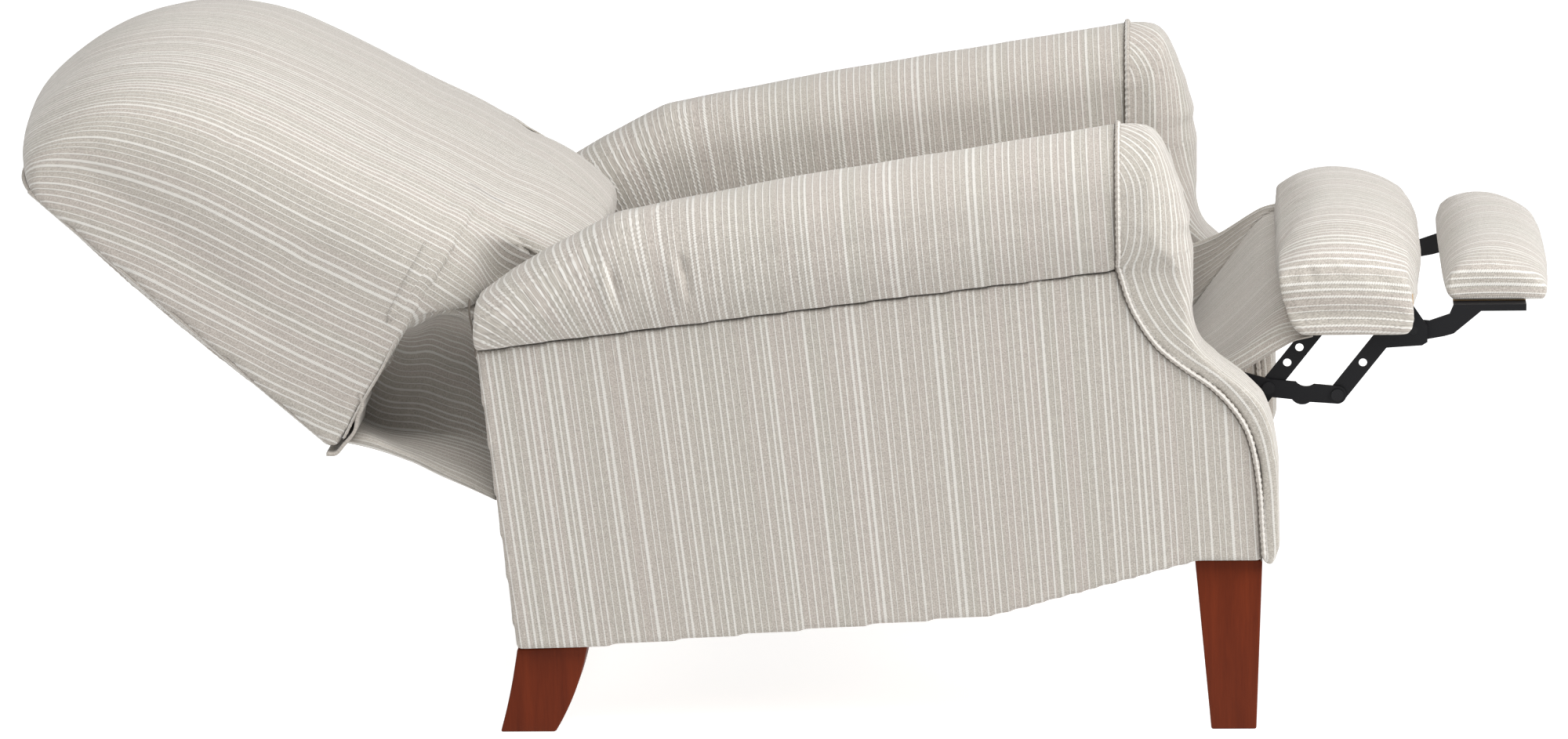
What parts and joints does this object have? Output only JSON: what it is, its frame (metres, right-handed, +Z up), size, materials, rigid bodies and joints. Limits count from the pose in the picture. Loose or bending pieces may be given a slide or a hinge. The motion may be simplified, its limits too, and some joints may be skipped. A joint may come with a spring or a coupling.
{
  "type": "recliner",
  "caption": "Push-back reclining armchair with rolled arms, raised tapered legs, laid-back padded back and a folding two-part footrest on scissor links.",
  "frame": {"origin": "On the floor, under the middle of the bounding box of the chair as it is reclined with the footrest out.", "axes": "+X forward from the back to the footrest, +Y to the sitter's left, +Z up."},
  "size_m": [1.6217, 0.7664, 0.7125],
  "materials": {
    "stripe_fabric": "woven upholstery, light greige with raised off-white twill stripes of uneven width",
    "leg_wood": "satin cherry-brown stain",
    "frame_wood": "unfinished frame wood",
    "black_metal": "satin black enamel on pressed steel",
    "pin_steel": "dark plated rivets, springs and screws"
  },
  "bodies": {
    "base": {"arm_outside_panel_right": "stripe_fabric", "arm_inside_panel_right": "stripe_fabric", "arm_rear_panel_right": "stripe_fabric", "arm_roll_right": "stripe_fabric", "arm_front_facing_right": "stripe_fabric", "arm_frame_right": "frame_wood", "front_leg_right": "leg_wood", "rear_leg_right": "leg_wood", "mechanism_side_plate_right": "black_metal", "arm_outside_panel_left": "stripe_fabric", "arm_inside_panel_left": "stripe_fabric", "arm_rear_panel_left": "stripe_fabric", "arm_roll_left": "stripe_fabric", "arm_front_facing_left": "stripe_fabric", "arm_frame_left": "frame_wood", "front_leg_left": "leg_wood", "rear_leg_left": "leg_wood", "mechanism_side_plate_left": "black_metal", "base_rear_panel": "stripe_fabric", "seat_cushion": "stripe_fabric", "footrest_flap": "stripe_fabric", "front_cross_rail": "frame_wood", "rear_cross_rail": "frame_wood", "seat_frame": "frame_wood", "seat_front_board": "frame_wood", "mechanism_cross_tube": "black_metal", "base_pivot_pins": "pin_steel", "seat_springs": "pin_steel", "mechanism_screws": "pin_steel", "leg_bolts": "pin_steel"},
    "back": {"back_cushion": "stripe_fabric", "back_frame": "frame_wood", "back_rear_panel": "stripe_fabric", "back_springs": "pin_steel", "back_bracket_right": "black_metal", "back_bracket_left": "black_metal", "back_bolts": "pin_steel", "rear_gusset": "stripe_fabric"},
    "rear_links": {"rear_link_right": "black_metal", "rear_link_left": "black_metal", "footrest_torque_tube": "black_metal", "knee_pins": "pin_steel"},
    "drive_links": {"drive_link_right": "black_metal", "drive_link_left": "black_metal"},
    "cross_links": {"cross_link_right": "black_metal", "cross_link_left": "black_metal", "tail_pins": "pin_steel"},
    "front_links": {"front_link_right": "black_metal", "front_link_left": "black_metal", "elbow_pins": "pin_steel"},
    "footrest": {"footrest_bracket_right": "black_metal", "footrest_bracket_left": "black_metal", "footrest_board": "frame_wood", "footrest_pad": "stripe_fabric", "footrest_pins": "pin_steel"},
    "extension": {"extension_arm_right": "black_metal", "extension_arm_left": "black_metal", "extension_board": "frame_wood", "extension_pad": "stripe_fabric"}
  },
  "joints": [
    {"name": "back_recline", "type": "hinge", "parent": "base", "child": "back", "pos_m": [-0.173, 0, 0.207], "axis": [0, 1, 0], "range_deg": [0, 26], "deforming": ["rear_gusset"]},
    {"name": "footrest_fold", "type": "hinge", "parent": "base", "child": "rear_links", "pos_m": [0.374, 0, 0.377], "axis": [0, 1, 0], "range_deg": [0, 85], "deforming": ["footrest_flap"]},
    {"name": "drive_link_turn", "type": "hinge", "parent": "base", "child": "drive_links", "pos_m": [0.33042, 0, 0.32222], "axis": [0, 1, 0], "range_deg": [0, 85]},
    {"name": "cross_link_turn", "type": "hinge", "parent": "rear_links", "child": "cross_links", "pos_m": [0.51077, 0, 0.33798], "axis": [0, 1, 0], "range_deg": [-85, 0]},
    {"name": "front_link_turn", "type": "hinge", "parent": "rear_links", "child": "front_links", "pos_m": [0.58276, 0, 0.32995], "axis": [0, 1, 0], "range_deg": [-85, 0]},
    {"name": "footrest_turn", "type": "hinge", "parent": "front_links", "child": "footrest", "pos_m": [0.64128, 0, 0.40352], "axis": [0, 1, 0], "range_deg": [0, 85]},
    {"name": "extension_flip", "type": "hinge", "parent": "footrest", "child": "extension", "pos_m": [0.66278, 0, 0.39692], "axis": [0, 1, 0], "range_deg": [0, 175]}
  ],
  "couplings": [
    {"joint": "drive_link_turn", "follows": "footrest_fold", "ratio": 1},
    {"joint": "cross_link_turn", "follows": "footrest_fold", "ratio": -1},
    {"joint": "front_link_turn", "follows": "footrest_fold", "ratio": -1},
    {"joint": "footrest_turn", "follows": "footrest_fold", "ratio": 1},
    {"joint": "extension_flip", "follows": "footrest_fold", "ratio": 2.0588}
  ]
}
